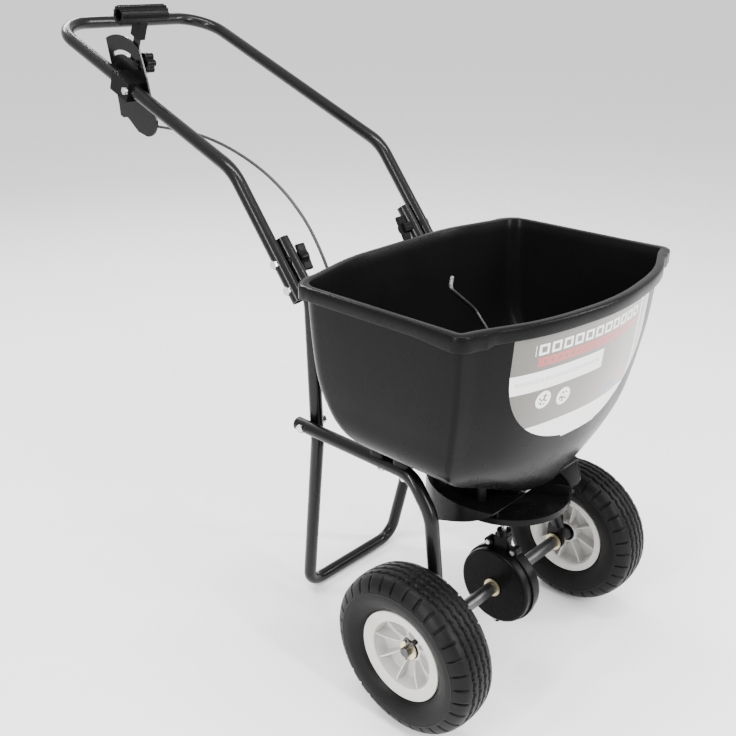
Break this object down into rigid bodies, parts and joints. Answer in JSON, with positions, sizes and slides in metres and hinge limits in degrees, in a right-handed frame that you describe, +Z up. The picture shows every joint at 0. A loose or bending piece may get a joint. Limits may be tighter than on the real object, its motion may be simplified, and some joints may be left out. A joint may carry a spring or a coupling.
{
  "type": "broadcast spreader",
  "caption": "Walk-behind broadcast spreader: deep black hopper over a spinner disc, axle-driven gearbox, pneumatic tyres, tube frame with stand, push handle and lever-operated gate.",
  "frame": {"origin": "on the ground under the middle of the machine's footprint", "axes": "+Z up, +Y aft towards the operator's end of the handle, +X to the operator's left along the axle"},
  "size_m": [0.5272, 1.101, 1.0061],
  "materials": {
    "moulded_black": "satin",
    "black_paint": "gloss",
    "bright_steel": "zinc plated",
    "yellow_plate": "yellow zinc plated",
    "nylon": "satin",
    "white_plastic": "satin",
    "tyre_rubber": "matt",
    "black_rubber": "matt"
  },
  "bodies": {
    "frame": {"hopper": "moulded_black", "floor_bush": "moulded_black", "gate_guides": "moulded_black", "shroud": "moulded_black", "shroud_screws": "bright_steel", "left_frame_tube": "black_paint", "right_frame_tube": "black_paint", "stand": "black_paint", "handle": "black_paint", "handle_bolts": "bright_steel", "handle_spacers": "moulded_black", "frame_bolts": "bright_steel", "hopper_bolts": "bright_steel", "left_gearbox_shell": "moulded_black", "right_gearbox_shell": "moulded_black", "gearbox_bushes": "nylon", "gearbox_bolts": "bright_steel", "axle_bushes": "nylon", "control_plate": "black_paint", "control_clamp": "moulded_black", "clamp_bolts": "bright_steel", "pivot_bolt": "bright_steel", "control_cable": "black_rubber", "cable_stops": "bright_steel"},
    "axle_line": {"axle": "bright_steel", "axle_sleeves": "black_paint", "axle_washers": "yellow_plate", "crown_gear": "nylon", "left_tyre": "tyre_rubber", "left_inner_tube": "black_rubber", "left_rim": "white_plastic", "left_valve": "black_rubber", "left_hub_bushes": "nylon", "left_cotter": "bright_steel", "right_cotter": "bright_steel"},
    "right_wheel": {"right_tyre": "tyre_rubber", "right_inner_tube": "black_rubber", "right_rim": "white_plastic", "right_valve": "black_rubber", "right_hub_bushes": "nylon"},
    "spinner_line": {"spinner": "moulded_black", "spinner_shaft": "bright_steel", "spinner_pin": "bright_steel", "pinion_gear": "nylon", "stirrer": "bright_steel"},
    "lever_arm": {"lever": "black_paint", "lever_grip": "moulded_black"},
    "gate_plate": {"gate": "bright_steel"},
    "rate_stop": {"stop_knob": "moulded_black"},
    "left_knob": {"left_wing_knob": "moulded_black"},
    "right_knob": {"right_wing_knob": "moulded_black"}
  },
  "joints": [
    {"name": "axle_spin", "type": "hinge", "parent": "frame", "child": "axle_line", "pos_m": [0, -0.3855, 0.13], "axis": [1, 0, 0], "continuous": true},
    {"name": "right_wheel_spin", "type": "hinge", "parent": "frame", "child": "right_wheel", "pos_m": [-0.222, -0.3855, 0.13], "axis": [1, 0, 0], "continuous": true},
    {"name": "spinner_spin", "type": "hinge", "parent": "frame", "child": "spinner_line", "pos_m": [0, -0.3855, 0.3], "axis": [0, 0, 1], "continuous": true},
    {"name": "lever_swing", "type": "hinge", "parent": "frame", "child": "lever_arm", "pos_m": [-0.147, 0.3495, 0.862], "axis": [1, 0, 0], "range_deg": [-45, 0]},
    {"name": "gate_slide", "type": "slide", "parent": "frame", "child": "gate_plate", "axis": [0, 1, 0], "range_m": [-0.0316, 0]},
    {"name": "stop_turn", "type": "hinge", "parent": "frame", "child": "rate_stop", "pos_m": [-0.15, 0.3495, 0.862], "axis": [1, 0, 0], "range_deg": [0, 8]},
    {"name": "left_knob_turn", "type": "hinge", "parent": "frame", "child": "left_knob", "pos_m": [0.125, -0.0575, 0.644], "axis": [1, 0, 0], "continuous": true},
    {"name": "right_knob_turn", "type": "hinge", "parent": "frame", "child": "right_knob", "pos_m": [-0.125, -0.0575, 0.644], "axis": [1, 0, 0], "continuous": true}
  ],
  "couplings": [
    {"joint": "spinner_spin", "follows": "axle_spin", "ratio": -4},
    {"joint": "gate_slide", "follows": "lever_swing", "m_per_rad": 0.04}
  ]
}
